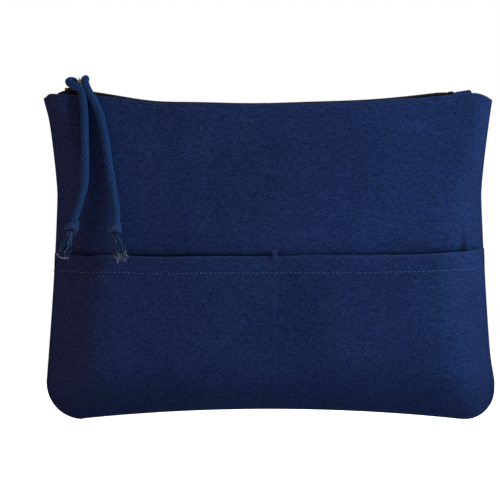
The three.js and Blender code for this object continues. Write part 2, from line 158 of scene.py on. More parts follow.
def edge_z(x):
    """Height of the canvas's top edge. It hangs lower beside the slider and past the ends of the tapes."""
    beside_slider = 2.6 * np.exp(-np.maximum(x + 114, 0) / 13) * smooth((x + 126) / 8)
    beside_stop = 1.4 * bump(x - 98, 16)
    tape_edge = zip_arc(x) + EDGE_ABOVE_TAPE - beside_slider - beside_stop
    tape_edge = np.where(x > 0, np.minimum(tape_edge, HIGHEST_EDGE), tape_edge)
    left_end = LEFT_END_Z + 0.4 * bump(x + 129.5, 3) - 2.2 * smooth((-130.6 - x) / 3.4)
    right_end = RIGHT_END_Z - 0.028 * np.maximum(x - 122, 0) ** 2
    return lerp(tape_edge, np.where(x < 0, left_end, right_end), smooth((np.abs(x) - 117) / 7))


def on_zip(x, y, n):
    """A point n above the tapes' mid plane, square to it."""
    slope = np.arcsin(np.asarray(x) / ZIP_RADIUS)
    return np.stack(np.broadcast_arrays(x - n * np.sin(slope), y, zip_z(x) + n * np.cos(slope)), -1)


def bottom_curve(x):
    """Height of the bottom edge without its rounded corners."""
    return BOTTOM_LIFT * np.maximum(0, 1 - (x / BOTTOM_LOW_X) ** 2)


def bottom_edge(x):
    """Height of the bottom edge."""
    radius = np.where(x < 0, LEFT_CORNER_RADIUS, RIGHT_CORNER_RADIUS)
    past = np.clip(np.abs(x) - (HALF_WIDTH - radius), 0, radius)
    return np.where(past > 0, radius - np.sqrt(radius**2 - past**2), bottom_curve(x))


def half_width_at(z):
    """The sides pull in to a waist and flare towards the top and bottom."""
    reach = np.where(z > WAIST_Z, CORNER_TOP_Z - WAIST_Z, WAIST_Z - LEFT_CORNER_RADIUS)
    away = np.minimum(np.abs(z - WAIST_Z) / reach, 1)
    return WAIST_HALF_WIDTH + (HALF_WIDTH - WAIST_HALF_WIDTH) * away**1.3


def spot(u, v):
    """x, z, distance from the side seam and distance from the bottom seam, where u and v meet."""
    below = 1 - v
    corner = below**3
    x = u * HALF_WIDTH
    low = bottom_edge(x)
    z = v * edge_z(x) + corner * low + (below - corner) * bottom_curve(x)
    flare = np.where(u < 0, LEFT_TOP_FLARE * bump(z - CORNER_TOP_Z, 9), RIGHT_BOTTOM_FLARE * bump(z - 20, 12))
    half_width = half_width_at(z) - SEAM_STAND_OUT + flare
    return u * half_width, z, (1 - np.abs(u)) * half_width, z - low


def swell(distance, band, power=SWELL_POWER):
    """0 at a seam, rising to 1 a band away from it. It starts flat, where the sewn edges lie together."""
    eased = np.hypot(distance, SEAM_ROUND) - SEAM_ROUND
    return 1 - (1 - np.clip(eased / band, 0, 1)) ** power


def depth(u, v, full, narrow_from):
    """How far a panel stands off the seam plane. From narrow_from up, it narrows towards the mouth."""
    _, _, from_side, from_bottom = spot(u, v)
    towards_mouth = smooth((v - narrow_from) / (1 - narrow_from))
    middle = lerp(full, MOUTH_DEPTH, towards_mouth)
    band = lerp(np.where(u < 0, LEFT_BAND, SIDE_BAND), MOUTH_BAND, towards_mouth)
    across = swell(from_side, band, np.where(u < 0, LEFT_SWELL_POWER, SWELL_POWER))
    return RIM_DEPTH + (middle - RIM_DEPTH) * across * swell(from_bottom, BOTTOM_BAND)


def pocket_gap(u, v):
    """Distance between a pocket and the front panel: slack in the middle, none at the sewn sides."""
    x, _, from_side, from_bottom = spot(u, v)
    from_divider = np.abs(x - DIVIDER_X) - DIVIDER_HALF_GAP
    sideways = smooth(from_divider / POCKET_BAND) * smooth(from_side / SIDE_BAND)
    return POCKET_GAP + POCKET_SLACK * sideways * smooth(from_bottom / BOTTOM_BAND)


def ripples(x, z, seed, shortest, longest, count=18):
    """Smooth irregular relief of about -1 to 1: a sum of waves with lengths between the two given."""
    random = np.random.RandomState(seed)
    total = np.zeros(np.broadcast(x, z).shape)
    for _ in range(count):
        length = random.uniform(shortest, longest)
        angle = random.uniform(0, math.pi)
        phase = random.uniform(0, 2 * math.pi)
        total += np.sin(2 * math.pi * (x * math.cos(angle) + z * math.sin(angle)) / length + phase)
    return total / math.sqrt(count)


def seam_puckers(along, away, seed, pitch=9.0, reach=9.0):
    """Short gathers that run in from a seam and fade out."""
    random = np.random.RandomState(seed)
    drift = 2.2 * np.sin(along / random.uniform(17, 23) + random.uniform(0, 6))
    height = 0.6 + 0.4 * np.sin(along / random.uniform(27, 37) + random.uniform(0, 6))
    return height * np.sin(2 * math.pi * (along + drift) / pitch) * np.exp(-np.maximum(away, 0) / reach)


# ---- faces of the cloth


def zip_seam_dent(from_top):
    """How far the stitches beside the zip pull the cloth in."""
    return 0.3 * bump(from_top - TOP_STITCHING, 0.7) * smooth(from_top / 1.5)


def corner_crease(x, z):
    """1 along the short upright crease above the right pocket's outer end."""
    away = (x - 115.2 - 0.12 * (z - 100)) / 1.7
    return np.exp(-(away**2)) * smooth((116 - z) / 16)


def upper_front_face(u, v):
    """The front panel's outer face between the pockets and the zip."""
    x, z, from_side, _ = spot(u, v)
    y = depth(u, v, FRONT_DEPTH, FRONT_NARROWS_FROM)
    from_top = edge_z(u * HALF_WIDTH) - z
    calm = smooth(from_side / 12)
    y = y + 0.55 * calm * ripples(x, z, 3, 55, 150)
    y = y + 0.16 * calm * ripples(x, z, 5, 18, 40)
    y = y + 0.22 * calm * seam_puckers(x, from_top - 3, 7)
    y = y - zip_seam_dent(from_top)
    y = y + 0.5 * calm * seam_puckers(z, from_side, 8, 31, 14)
    y = y - 2.2 * corner_crease(x, z)
    y = y + 0.9 * bump(x - 110, 4.5) * smooth((122 - z) / 20)
    crease = z - 112 - 0.35 * (x + 92)
    y = y - 0.5 * bump(crease, 5) * bump(x + 92, 30)
    return np.stack([x, -y, z], -1)


def lower_front_face(u, v):
    """The front panel's outer face behind the pockets."""
    x, z, _, _ = spot(u, v)
    return np.stack([x, -depth(u, v, FRONT_DEPTH, FRONT_NARROWS_FROM), z], -1)


def back_face(u, v):
    """The back panel's outer face."""
    x, z, from_side, from_bottom = spot(u, v)
    y = depth(u, v, BACK_DEPTH, BACK_NARROWS_FROM)
    calm = smooth(from_side / 12) * smooth(from_bottom / 12)
    from_top = edge_z(u * HALF_WIDTH) - z
    y = y - 0.35 * calm * (1 + ripples(x, z, 11, 50, 140)) * 0.6
    y = y - 0.12 * calm * (1 + ripples(x, z, 12, 18, 40))
    y = y + 0.2 * calm * seam_puckers(x, from_top - 3, 13)
    y = y - zip_seam_dent(from_top)
    y = y - 0.25 * np.abs(seam_puckers(x, from_bottom, 14))
    return np.stack([x, y, z], -1)


def pocket_face(u, v):
    """The pockets' outer face. It dips to the panel along the divider and at the seams."""
    x, z, from_side, from_bottom = spot(u, v)
    y = depth(u, v, FRONT_DEPTH, FRONT_NARROWS_FROM) + pocket_gap(u, v) + CANVAS
    calm = smooth(from_side / 14) * smooth(from_bottom / 14)
    away = np.abs(x - DIVIDER_X)
    loose = calm * smooth(away / 18)
    y = y + 0.5 * loose * ripples(x, z, 21, 50, 130)
    y = y + 0.16 * loose * ripples(x, z, 22, 16, 36)
    hem = hem_distance(u, v)
    y = y - 0.32 * bump(hem, 0.8)
    y = y + 0.1 * loose * seam_puckers(x, np.abs(hem) - 1, 23, 5.6, 3)
    y = y + 0.28 * calm * seam_puckers(z, away - 2, 24, 11, 7)
    y = y + 0.3 * smooth(from_side / 8) * seam_puckers(x, from_bottom, 25, 12, 9)
    y = y + 0.4 * smooth(from_bottom / 10) * seam_puckers(z, from_side, 26, 27, 12) * smooth(from_side / 5)
    return np.stack([x, -y, z + lip_rise(x) * (v / LIP) ** 3], -1)


def lip_rise(x):
    """How far the pockets' upper edge climbs towards the right seam."""
    return LIP_CLIMB * smooth((x - 60) / 60) + LIP_CORNER_CLIMB * smooth((x - 116) / 12)


def hem_distance(u, v):
    """How far a point of a pocket is above the stitching of its hem."""
    return (v - LIP) * (zip_z(u * HALF_WIDTH) - bottom_edge(u * HALF_WIDTH)) + HEM


# ---- mesh building


def add_object(name, data):
    obj = bpy.data.objects.new(name, data)
    bpy.context.scene.collection.objects.link(obj)
    return obj


def make_object(name, points, faces, material, uvs, shade=None, merge=False):
    """A mesh object from points in millimetres. uvs and shade hold one entry for each point."""
    mesh = bpy.data.meshes.new(name)
    mesh.from_pydata(to_frame(points).tolist(), [], [list(map(int, f)) for f in faces])
    corner_points = np.zeros(len(mesh.loops), np.int32)
    mesh.loops.foreach_get("vertex_index", corner_points)
    layer = mesh.uv_layers.new(name="cloth")
    layer.data.foreach_set("uv", np.asarray(uvs, np.float32)[corner_points].ravel())
    if shade is not None:
        attribute = mesh.attributes.new("shade", "FLOAT", "POINT")
        attribute.data.foreach_set("value", np.asarray(shade, np.float32))
    if merge:
        bm = bmesh.new()
        bm.from_mesh(mesh)
        bmesh.ops.remove_doubles(bm, verts=bm.verts, dist=1e-6)
        bmesh.ops.dissolve_degenerate(bm, edges=bm.edges, dist=1e-7)
        bm.to_mesh(mesh)
        bm.free()
    mesh.polygons.foreach_set("use_smooth", [True] * len(mesh.polygons))
    mesh.materials.append(material)
    mesh.update()
    return add_object(name, mesh)


def attach(piece, body, node):
    """Fixes a piece to a body, in place of a CAD node."""
    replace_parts(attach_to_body(piece, body), node)


def attach_bending(piece, node):
    """Puts a piece in place of a CAD node, with its placement applied to its mesh."""
    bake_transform(piece)
    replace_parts(piece, node)


def spread(start, end, step, fine=()):
    """Values from start to end about step apart, with more at the offsets in fine from each end."""
    values = list(np.linspace(start, end, max(2, int(round(abs(end - start) / step)) + 1)))
    for offset in fine:
        values += [start + offset, end - offset]
    return np.unique(np.round(values, 6))


def unit(vectors):
    """The vectors scaled to length 1."""
    return vectors / np.maximum(np.linalg.norm(vectors, axis=-1, keepdims=True), 1e-9)


def run_along(points):
    """Distance along a path at each of its points."""
    return np.concatenate([[0], np.cumsum(np.linalg.norm(np.diff(points, axis=0), axis=-1))])


def pairs(along, across):
    """The pair of values at each crossing of a grid."""
    return np.stack(np.broadcast_arrays(along[:, None], across[None, :]), -1)


def tube_faces(rings, count, start=0):
    """Faces between neighbouring rings of count points, and over both ends."""
    faces = []
    for k in range(rings - 1):
        a = start + k * count
        for s in range(count):
            n = (s + 1) % count
            faces.append((a + s, a + n, a + count + n, a + count + s))
    last = start + (rings - 1) * count
    faces.append(tuple(start + s for s in reversed(range(count))))
    faces.append(tuple(last + s for s in range(count)))
    return faces


def cloth(name, face, us, vs, rounded, thickness, outward=-1, shade=None):
    """A sheet of cloth whose outer side is face(u, v). Each border named in rounded (u0, u1, v0, v1) is
    closed with a round edge, and the others stay open, where the next sheet carries on."""
    grid_u, grid_v = np.meshgrid(us, vs, indexing="ij")
    outer = face(grid_u, grid_v)
    along_u = unit(np.gradient(outer, axis=0) / np.gradient(grid_u, axis=0)[..., None])
    along_v = unit(np.gradient(outer, axis=1) / np.gradient(grid_v, axis=1)[..., None])
    normal = unit(np.cross(along_u, along_v))
    if outward > 0:
        normal = -normal
    half = np.broadcast_to(thickness(grid_u, grid_v) / 2, grid_u.shape)[..., None]
    middle = outer - normal * half
    turn = [math.cos(math.radians(a)) for a in (40, 90, 140)]
    rows = [(j, 1.0, 0.0) for j in range(len(vs))]
    if "v1" in rounded:
        rows += [(len(vs) - 1, c, math.sqrt(1 - c * c)) for c in turn]
    first_inner = len(rows)
    rows += [(j, -1.0, 0.0) for j in reversed(range(len(vs)))]
    if "v0" in rounded:
        rows += [(0, -c, -math.sqrt(1 - c * c)) for c in turn]
    columns = [(i, 1.0, 0.0) for i in range(len(us))]
    if "u0" in rounded:
        columns = [(0, 0.0, -1.0), (0, 0.7, -0.7)] + columns
    if "u1" in rounded:
        columns = columns + [(len(us) - 1, 0.7, 0.7), (len(us) - 1, 0.0, 1.0)]
    i, shrink, push = (np.array(c) for c in zip(*columns))
    j, side, cap = (np.array(r) for r in zip(*rows))
    i = i.astype(int)
    j = j.astype(int)
    pick = np.ix_(i, j)
    points = (
        middle[pick]
        + normal[pick] * half[pick] * np.outer(shrink, side)[..., None]
        + along_v[pick] * half[pick] * np.outer(shrink, cap)[..., None]
        + along_u[pick] * half[pick] * np.outer(push, np.ones(len(rows)))[..., None]
    )
    run_u = run_along(outer[:, len(vs) // 2]) + outer[0, len(vs) // 2, 0]
    run_v = run_along(outer[len(us) // 2]) + outer[len(us) // 2, 0, 2]
    uvs = pairs(run_u[i], run_v[j]) * 0.001
    count = len(rows)
    faces = []
    for c in range(len(columns) - 1):
        for r in range(count):
            if r == first_inner - 1 and "v1" not in rounded:
                continue
            if r == count - 1 and "v0" not in rounded:
                continue
            nxt = (r + 1) % count
            quad = (c * count + r, (c + 1) * count + r, (c + 1) * count + nxt, c * count + nxt)
            faces.append(quad if outward < 0 else quad[::-1])
    values = np.zeros(grid_u.shape) if shade is None else shade(grid_u, grid_v)
    tone = values[pick].ravel()
    return make_object(name, points.reshape(-1, 3), faces, CANVAS_CLOTH, uvs.reshape(-1, 2), tone, merge=True)


def smooth_path(points, samples):
    """A Catmull-Rom curve through the points, at evenly spaced samples."""
    p = np.asarray(points, float)
    p = np.vstack([2 * p[0] - p[1], p, 2 * p[-1] - p[-2]])
    t = np.linspace(0, 1, 40, endpoint=False)[:, None]
    parts = []
    for a, b, c, d in zip(p, p[1:], p[2:], p[3:]):
        parts.append(
            0.5 * (2 * b + (c - a) * t + (2 * a - 5 * b + 4 * c - d) * t**2 + (3 * b - a - 3 * c + d) * t**3)
        )
    dense = np.vstack(parts + [p[-2:-1]])
    run = run_along(dense)
    even = np.linspace(0, run[-1], samples)
    return np.stack([np.interp(even, run, dense[:, k]) for k in range(3)], -1)


class Strands:
    """Collects tubes into one mesh."""

    def __init__(self):
        self.points, self.faces, self.uvs, self.shade = [], [], [], []
        self.count = 0

    def tube(self, path, radius, sides=8, relief=None, shade=0.0):
        """radius is one number or one for each point. relief(run, angle) scales it."""
        path = np.asarray(path, float)
        total = len(path)
        tangent = unit(np.gradient(path, axis=0))
        guide = np.array([0.0, -1.0, 0.0])
        if abs(tangent[0] @ guide) > 0.9:
            guide = np.array([1.0, 0.0, 0.0])
        side = np.zeros_like(path)
        side[0] = unit(np.cross(tangent[0], guide))
        for k in range(1, total):
            side[k] = unit(side[k - 1] - tangent[k] * (side[k - 1] @ tangent[k]))
        other = np.cross(tangent, side)
        run = run_along(path)
        angle = np.linspace(0, 2 * math.pi, sides, endpoint=False)
        r = np.broadcast_to(np.asarray(radius, float), (total,))[:, None] * np.ones(sides)
        if relief is not None:
            r = r * relief(run[:, None], angle[None, :])
        ring = (
            path[:, None]
            + side[:, None] * (r * np.cos(angle))[..., None]
            + other[:, None] * (r * np.sin(angle))[..., None]
        )
        self.points.append(ring.reshape(-1, 3))
        self.uvs.append(pairs(run, angle / (2 * math.pi)).reshape(-1, 2) * (0.001, 1.0))
        self.shade.append(np.broadcast_to(np.asarray(shade, float), (total,)).repeat(sides))
        self.faces += tube_faces(total, sides, self.count)
        self.count += total * sides

    def make(self, name, material):
        uvs = np.vstack(self.uvs)
        shade = np.concatenate(self.shade)
        return make_object(name, np.vstack(self.points), self.faces, material, uvs, shade)


# ---- materials


class Shader:
    """A node material with a Principled BSDF, built up by small calls."""

    def __init__(self, name):
        self.material = bpy.data.materials.new(name)
        self.material.use_nodes = True
        self.tree = self.material.node_tree
        self.tree.nodes.clear()
        output = self.tree.nodes.new("ShaderNodeOutputMaterial")
        self.surface = self.tree.nodes.new("ShaderNodeBsdfPrincipled")
        self.tree.links.new(self.surface.outputs[0], output.inputs[0])

    def put(self, socket, value):
        if isinstance(value, bpy.types.NodeSocket):
            self.tree.links.new(value, socket)
        elif isinstance(value, tuple) and socket.type == "RGBA" and len(value) == 3:
            socket.default_value = (*value, 1)
        else:
            socket.default_value = value

    def set(self, **inputs):
        for name, value in inputs.items():
            self.put(self.surface.inputs[name.replace("_", " ")], value)

    def node(self, kind, **inputs):
        made = self.tree.nodes.new("ShaderNode" + kind)
        for name, value in inputs.items():
            self.put(made.inputs[name], value)
        return made

    def math(self, operation, *values):
        made = self.tree.nodes.new("ShaderNodeMath")
        made.operation = operation
        for socket, value in zip(made.inputs, values):
            self.put(socket, value)
        return made.outputs[0]

    def times(self, a, b):
        return self.math("MULTIPLY", a, b)

    def plus(self, a, b):
        return self.math("ADD", a, b)

    def mix(self, share, a, b):
        made = self.tree.nodes.new("ShaderNodeMix")
        made.data_type = "RGBA"
        self.put(made.inputs[0], share)
        self.put(made.inputs[6], a)
        self.put(made.inputs[7], b)
        return made.outputs[2]

    def multiply(self, colour, amount):
        """colour times a number."""
        made = self.tree.nodes.new("ShaderNodeVectorMath")
        made.operation = "SCALE"
        self.put(made.inputs[0], colour)
        self.put(made.inputs[3], amount)
        return made.outputs[0]

    def noise(self, vector, scale, detail=2.0):
        return self.node("TexNoise", Vector=vector, Scale=scale, Detail=detail).outputs[0]

    def stretch(self, low, high, value, to_low=0.0, to_high=1.0):
        made = self.tree.nodes.new("ShaderNodeMapRange")
        for socket, number in zip(made.inputs, (value, low, high, to_low, to_high)):
            self.put(socket, number)
        return made.outputs[0]

    def vector(self, x, y, z=0.0):
        return self.node("CombineXYZ", X=x, Y=y, Z=z).outputs[0]

    def cloth_place(self):
        """Distance along the cloth's two thread directions, in metres."""
        place = self.tree.nodes.new("ShaderNodeUVMap")
        place.uv_map = "cloth"
        split = self.node("SeparateXYZ", Vector=place.outputs[0])
        return split.outputs[0], split.outputs[1]

    def object_place(self):
        return self.node("TexCoord").outputs["Object"]

    def attribute(self, name):
        made = self.tree.nodes.new("ShaderNodeAttribute")
        made.attribute_name = name
        return made.outputs["Fac"]

    def bump(self, height, distance, strength=1.0):
        made = self.node("Bump", Height=height, Strength=strength, Distance=distance)
        self.put(self.surface.inputs["Normal"], made.outputs[0])


def plain_weave(s, across, along, pitch):
    """(height of the weave, 1 where an upright thread is on top, tone of the thread on top)."""
    warp = s.math("SINE", s.times(across, math.pi / pitch))
    weft = s.math("SINE", s.times(along, math.pi / pitch))
    upright = s.math("GREATER_THAN", s.times(warp, weft), 0.0)
    level = s.math("SUBTRACT", 1.0, upright)

    def yarn(over, under):
        """A round yarn that dips at the ends of its float."""
        round_top = s.math("POWER", s.math("ABSOLUTE", over), 0.8)
        dip = s.math("MULTIPLY_ADD", s.math("POWER", s.math("ABSOLUTE", under), 0.5), 0.45, 0.55)
        return s.times(round_top, dip)

    def choose(a, b):
        return s.plus(s.times(a, upright), s.times(b, level))

    a = s.math("DIVIDE", across, pitch)
    b = s.math("DIVIDE", along, pitch)
    warp_tone = s.noise(s.vector(a, s.times(b, 0.25)), 0.9, 2)
    weft_tone = s.noise(s.vector(s.times(a, 0.25), b, 3.7), 0.9, 2)
    return choose(yarn(warp, weft), yarn(weft, warp)), upright, choose(warp_tone, weft_tone)


def canvas_material():
    s = Shader("navy_canvas")
    across, along = s.cloth_place()
    height, upright, tone = plain_weave(s, across, along, 0.00064)
    place = s.object_place()
    colour = s.mix(s.stretch(0.39, 0.61, tone), (0.0066, 0.0150, 0.0620), (0.0150, 0.0335, 0.1240))
    colour = s.mix(s.times(upright, 0.25), colour, (0.0125, 0.0265, 0.0980))
    grain = s.noise(place, 1500, 2)
    fleck = s.stretch(0.58, 0.74, grain)
    colour = s.mix(s.times(fleck, 0.5), colour, (0.0420, 0.0560, 0.1500))
    worn = s.times(s.math("MAXIMUM", s.attribute("shade"), 0.0), 0.5)
    colour = s.mix(worn, colour, (0.0230, 0.0420, 0.1200))
    # Painted shade: where the shade attribute is below zero, behind the pockets' lips and in the crease, the
    # colour is darkened.
    shadow = s.plus(s.math("MINIMUM", s.attribute("shade"), 0.0), 1.0)
    speckle = s.stretch(0.34, 0.66, grain, 0.76, 1.24)
    cloud = s.stretch(0.3, 0.7, s.noise(place, 22, 3), 0.90, 1.10)
    # Painted shade in the weave: the low parts between the yarns are darkened.
    painted_weave_shade = s.stretch(0.0, 0.5, height, 0.62, 1.0)
    for amount in (speckle, cloud, painted_weave_shade, shadow):
        colour = s.multiply(colour, amount)
    s.set(Base_Color=colour, Roughness=0.92, Specular_IOR_Level=0.05)
    s.set(Sheen_Weight=0.02, Sheen_Roughness=0.5, Sheen_Tint=(0.25, 0.4, 0.85))
    fuzz = s.noise(place, 2600, 2)
    relief = s.plus(s.times(height, 0.8), s.times(tone, 0.4))
    s.bump(s.plus(relief, s.times(fuzz, 0.3)), 0.00022)
    return s.material


def thread_material(name, dark, light):
    s = Shader(name)
    run, turn = s.cloth_place()
    twist = s.math("SINE", s.plus(s.times(run, 9000.0), s.times(turn, 6.283)))
    tone = s.stretch(0.35, 0.65, s.noise(s.object_place(), 900, 2))
    s.set(Base_Color=s.mix(tone, dark, light), Roughness=0.7, Specular_IOR_Level=0.15)
    s.bump(twist, 0.00006)
    return s.material


def tape_material():
    """Herringbone zip tape."""
    s = Shader("black_zip_tape")
    across, along = s.cloth_place()
    bent = s.math("PINGPONG", along, 0.0011)
    rib = s.math("SINE", s.times(s.plus(across, bent), 2 * math.pi / 0.0006))
    tone = s.stretch(-1.0, 1.0, rib)
    s.set(Base_Color=s.mix(tone, (0.0030, 0.0030, 0.0042), (0.0100, 0.0100, 0.0130)))
    s.set(Roughness=0.85, Specular_IOR_Level=0.2)
    s.bump(rib, 0.00010, 0.8)
    return s.material


def coil_material():
    s = Shader("black_nylon_coil")
    tone = s.noise(s.object_place(), 700, 2)
    s.set(Base_Color=s.mix(tone, (0.0035, 0.0035, 0.0045), (0.0090, 0.0090, 0.0110)))
    s.set(Roughness=s.stretch(0.2, 0.8, tone, 0.38, 0.55), Specular_IOR_Level=0.3)
    s.bump(s.noise(s.object_place(), 2600, 2), 0.00003)
    return s.material


def metal_material(name, bright, dull, tarnish, wear):
    """Plated metal: brushed, with tarnish in patches."""
    s = Shader(name)
    place = s.object_place()
    patch = s.stretch(0.42, 0.68, s.noise(place, 330, 4))
    fine = s.noise(place, 1900, 3)
    colour = s.mix(s.times(patch, tarnish), bright, dull)
    s.set(Base_Color=colour, Metallic=1.0)
    s.set(Roughness=s.plus(s.stretch(0.3, 0.7, fine, 0.16, 0.34), s.times(patch, wear)))
    s.bump(s.plus(fine, s.times(patch, 0.4)), 0.00003, 0.6)
    return s.material


def cord_material():
    """Braided cotton. The braid's relief is in the mesh; this adds its fibres."""
    s = Shader("blue_cotton_cord")
    run, turn = s.cloth_place()
    place = s.object_place()
    lean = s.plus(s.times(run, 1500.0), s.times(turn, 2 * math.pi * 6))
    other = s.math("SUBTRACT", s.times(run, 1500.0), s.times(turn, 2 * math.pi * 6))
    fibres = s.plus(s.math("SINE", lean), s.math("SINE", other))
    fuzz = s.noise(place, 1700, 3)
    tone = s.plus(s.times(fibres, 0.12), fuzz)
    colour = s.mix(s.stretch(0.2, 0.85, tone), (0.0055, 0.0235, 0.0870), (0.0120, 0.0510, 0.1700))
    colour = s.mix(s.math("POWER", s.attribute("shade"), 1.4), colour, (0.5200, 0.5700, 0.6600))
    s.set(Base_Color=colour, Roughness=0.9, Specular_IOR_Level=0.08)
    s.set(Sheen_Weight=0.04, Sheen_Roughness=0.5, Sheen_Tint=(0.2, 0.5, 0.9))
    s.bump(s.plus(s.times(fibres, 0.4), fuzz), 0.00018)
    return s.material


CANVAS_CLOTH = canvas_material()
THREAD = thread_material("blue_thread", (0.032, 0.060, 0.175), (0.070, 0.110, 0.280))
TONAL_THREAD = thread_material("navy_thread", (0.012, 0.026, 0.090), (0.026, 0.050, 0.150))
TAPE = tape_material()
COIL = coil_material()
NICKEL = metal_material("bright_nickel", (0.78, 0.75, 0.70), (0.35, 0.30, 0.24), 0.5, 0.15)
BRONZE = metal_material("dark_bronze", (0.20, 0.145, 0.095), (0.045, 0.034, 0.028), 0.9, 0.2)
BLACK_METAL = metal_material("blackened_metal", (0.030, 0.028, 0.027), (0.010, 0.010, 0.010), 0.8, 0.3)
CORD = cord_material()

# ---- panels and pockets

# Places along x, in metres: the two seams, where the zip stays closed, the divider and the pockets' middles.
LEFT_SEAM = (-0.134, 0, 0)
RIGHT_SEAM = (0.134, 0, 0)
ZIP_STILL_CLOSED = (0.092, 0, 0)
DIVIDER = (DIVIDER_X / 1000, 0, 0)
LEFT_POCKET_MIDDLE = (-0.064, 0, 0)
RIGHT_POCKET_MIDDLE = (0.068, 0, 0)
FINE = (0.002, 0.005, 0.010, 0.020, 0.030, 0.040)
ALL_BORDERS = ("u0", "u1", "v0", "v1")
# The darkest the painted shade may make the canvas, as a value of the shade attribute.
DARKEST_PAINTED_SHADE = -0.85


def plain(u, v):
    """One ply of cloth."""
    return CANVAS + 0 * u


def hemmed(u, v):
    """Cloth that is thicker above the hem's stitching, where it is turned in."""
    return CANVAS + HEM_PLIES * smooth((hem_distance(u, v) + 0.6) / 0.8)


def wear(x, z, from_edge, from_bottom, seed):
    """1 along an edge and half that along the bottom seam, in uneven patches."""
    rubbed = 0.75 + 0.25 * ripples(x, z, seed, 8, 30)
    return np.clip(rubbed * (bump(from_edge, 0.9) + 0.5 * bump(from_bottom, 1.2)), 0, 1)


def edge_wear(u, v):
    """Paler along the top edge and the bottom seam."""
    x, z, _, from_bottom = spot(u, v)
    return wear(x, z, edge_z(u * HALF_WIDTH) - z, from_bottom, 31)


def upper_wear_and_painted_shade(u, v):
    """Edge wear, and painted shade: darker just above the pockets' lips and along the crease, where shadow
    falls.
    """
    x, z, from_side, _ = spot(u, v)
    above_lip = np.maximum(hem_distance(u, v) - HEM - lip_rise(x) - 0.6, 0)
    # Painted shadow: a dark band on the panel just above the pockets' lips, stronger left of the divider and
    # fading towards the side seams.
    painted_lip_shadow = (0.5 * bump(above_lip, 1.8) + 0.25 * np.exp(-above_lip / 4)) * smooth(from_side / 6)
    painted_lip_shadow = painted_lip_shadow * lerp(1.0, 1.35, smooth((DIVIDER_X - x) / 6))
    # The crease is darkened as painted shade too, and all the darkening is held above a floor.
    return np.maximum(edge_wear(u, v) - painted_lip_shadow - 0.7 * corner_crease(x, z), DARKEST_PAINTED_SHADE)


def lip_wear(u, v):
    """Paler along the pockets' lips and the bottom seam."""
    x, z, _, from_bottom = spot(u, v)
    return wear(x, z, hem_distance(u, v) - HEM, from_bottom, 32)


def panels():
    lower = cloth(
        "front_panel_lower_cloth", lower_front_face, spread(-1, 1, 0.03, FINE), spread(0, FOLD, 0.02, FINE),
        ALL_BORDERS, plain,
    )
    attach(lower, "pouch", "front_panel_lower")
    rows = spread(UPPER_START, 1, 0.008, (0.002, 0.004, 0.007, 0.012))
    for side, us, border, seam in (
        ("left", spread(-1, 0, 0.015, FINE), "u0", LEFT_SEAM),
        ("right", spread(0, 1, 0.015, FINE), "u1", ZIP_STILL_CLOSED),
    ):
        half = cloth(
            f"front_panel_upper_{side}", upper_front_face, us, rows, (border, "v0", "v1"), plain,
            shade=upper_wear_and_painted_shade,
        )
        attach_bending(half, "front_panel_upper")
    back = cloth(
        "back_panel_cloth", back_face, spread(-1, 1, 0.015, FINE), spread(0, 1, 0.01, FINE),
        ALL_BORDERS, plain, outward=1, shade=edge_wear,
    )
    attach(back, "pouch", "back_panel")


DIVIDER_U = DIVIDER_X / HALF_WIDTH
LEFT_MIDDLE_U = LEFT_POCKET_MIDDLE[0] * 1000 / HALF_WIDTH
RIGHT_MIDDLE_U = RIGHT_POCKET_MIDDLE[0] * 1000 / HALF_WIDTH

# Each pocket is built in two halves, split at its middle:
# side, half, the range of u, the border that gets a round edge, the sewn side at the seam or divider, and the
# pocket's middle.
POCKET_HALVES = (
    ("left", "outer", -1.0, LEFT_MIDDLE_U, "u0", LEFT_SEAM, LEFT_POCKET_MIDDLE),
    ("left", "inner", LEFT_MIDDLE_U, DIVIDER_U, "", DIVIDER, LEFT_POCKET_MIDDLE),
    ("right", "inner", DIVIDER_U, RIGHT_MIDDLE_U, "", DIVIDER, RIGHT_POCKET_MIDDLE),
    ("right", "outer", RIGHT_MIDDLE_U, 1.0, "u1", RIGHT_SEAM, RIGHT_POCKET_MIDDLE),
)


def pockets():
    rows = spread(0, LIP, 0.008, (0.002, 0.004, 0.007))
    hem_rows = np.linspace(LIP - (HEM + 2.5) / 185, LIP - (HEM - 2.5) / 185, 12)
    rows = np.unique(np.concatenate([rows, hem_rows]))
    for side, half, start, end, border, sewn, middle in POCKET_HALVES:
        us = spread(start, end, 0.012, FINE)
        edges = tuple(e for e in (border, "v0", "v1") if e)
        piece = cloth(f"{side}_pocket_{half}_half", pocket_face, us, rows, edges, hemmed, shade=lip_wear)
        attach_bending(piece, f"{side}_pocket_panel")


# ---- stitching

STITCH = 2.8
STITCH_GAP = 1.25
STITCH_RADIUS = 0.23
STITCH_TAPER = np.array([0.7, 0.95, 1.0, 1.03, 1.0, 0.95, 0.7])
STITCH_POINTS = len(STITCH_TAPER)
STITCHED_TO = 0.965  # where the lines beside the zip end, as a share of the half width


def face_normal(face, u, v):
    step = 1e-3
    p = face(u, v)
    normal = unit(np.cross(face(u + step, v) - p, face(u, v + step) - p))
    return p, normal


def stitches(strands, points, normals, lift=0.1, seed=0):
    """Stitches along a line on the cloth. Each one rises out of the cloth and goes back in."""
    random = np.random.RandomState(seed)
    run = run_along(points)
    for k in range(int(run[-1] / STITCH)):
        jitter = random.uniform(-0.12, 0.12)
        at = k * STITCH + np.linspace(STITCH_GAP / 2, STITCH - STITCH_GAP / 2, STITCH_POINTS) + jitter
        line = np.stack([np.interp(at, run, points[:, c]) for c in range(3)], -1)
        out = np.stack([np.interp(at, run, normals[:, c]) for c in range(3)], -1)
        rise = lift - 0.42 * np.abs(np.linspace(-1, 1, STITCH_POINTS)) ** 3
        sway = random.uniform(-0.1, 0.1)
        line = line + out * rise[:, None] + (0, 0, sway)
        strands.tube(line, STITCH_RADIUS * STITCH_TAPER, 7)


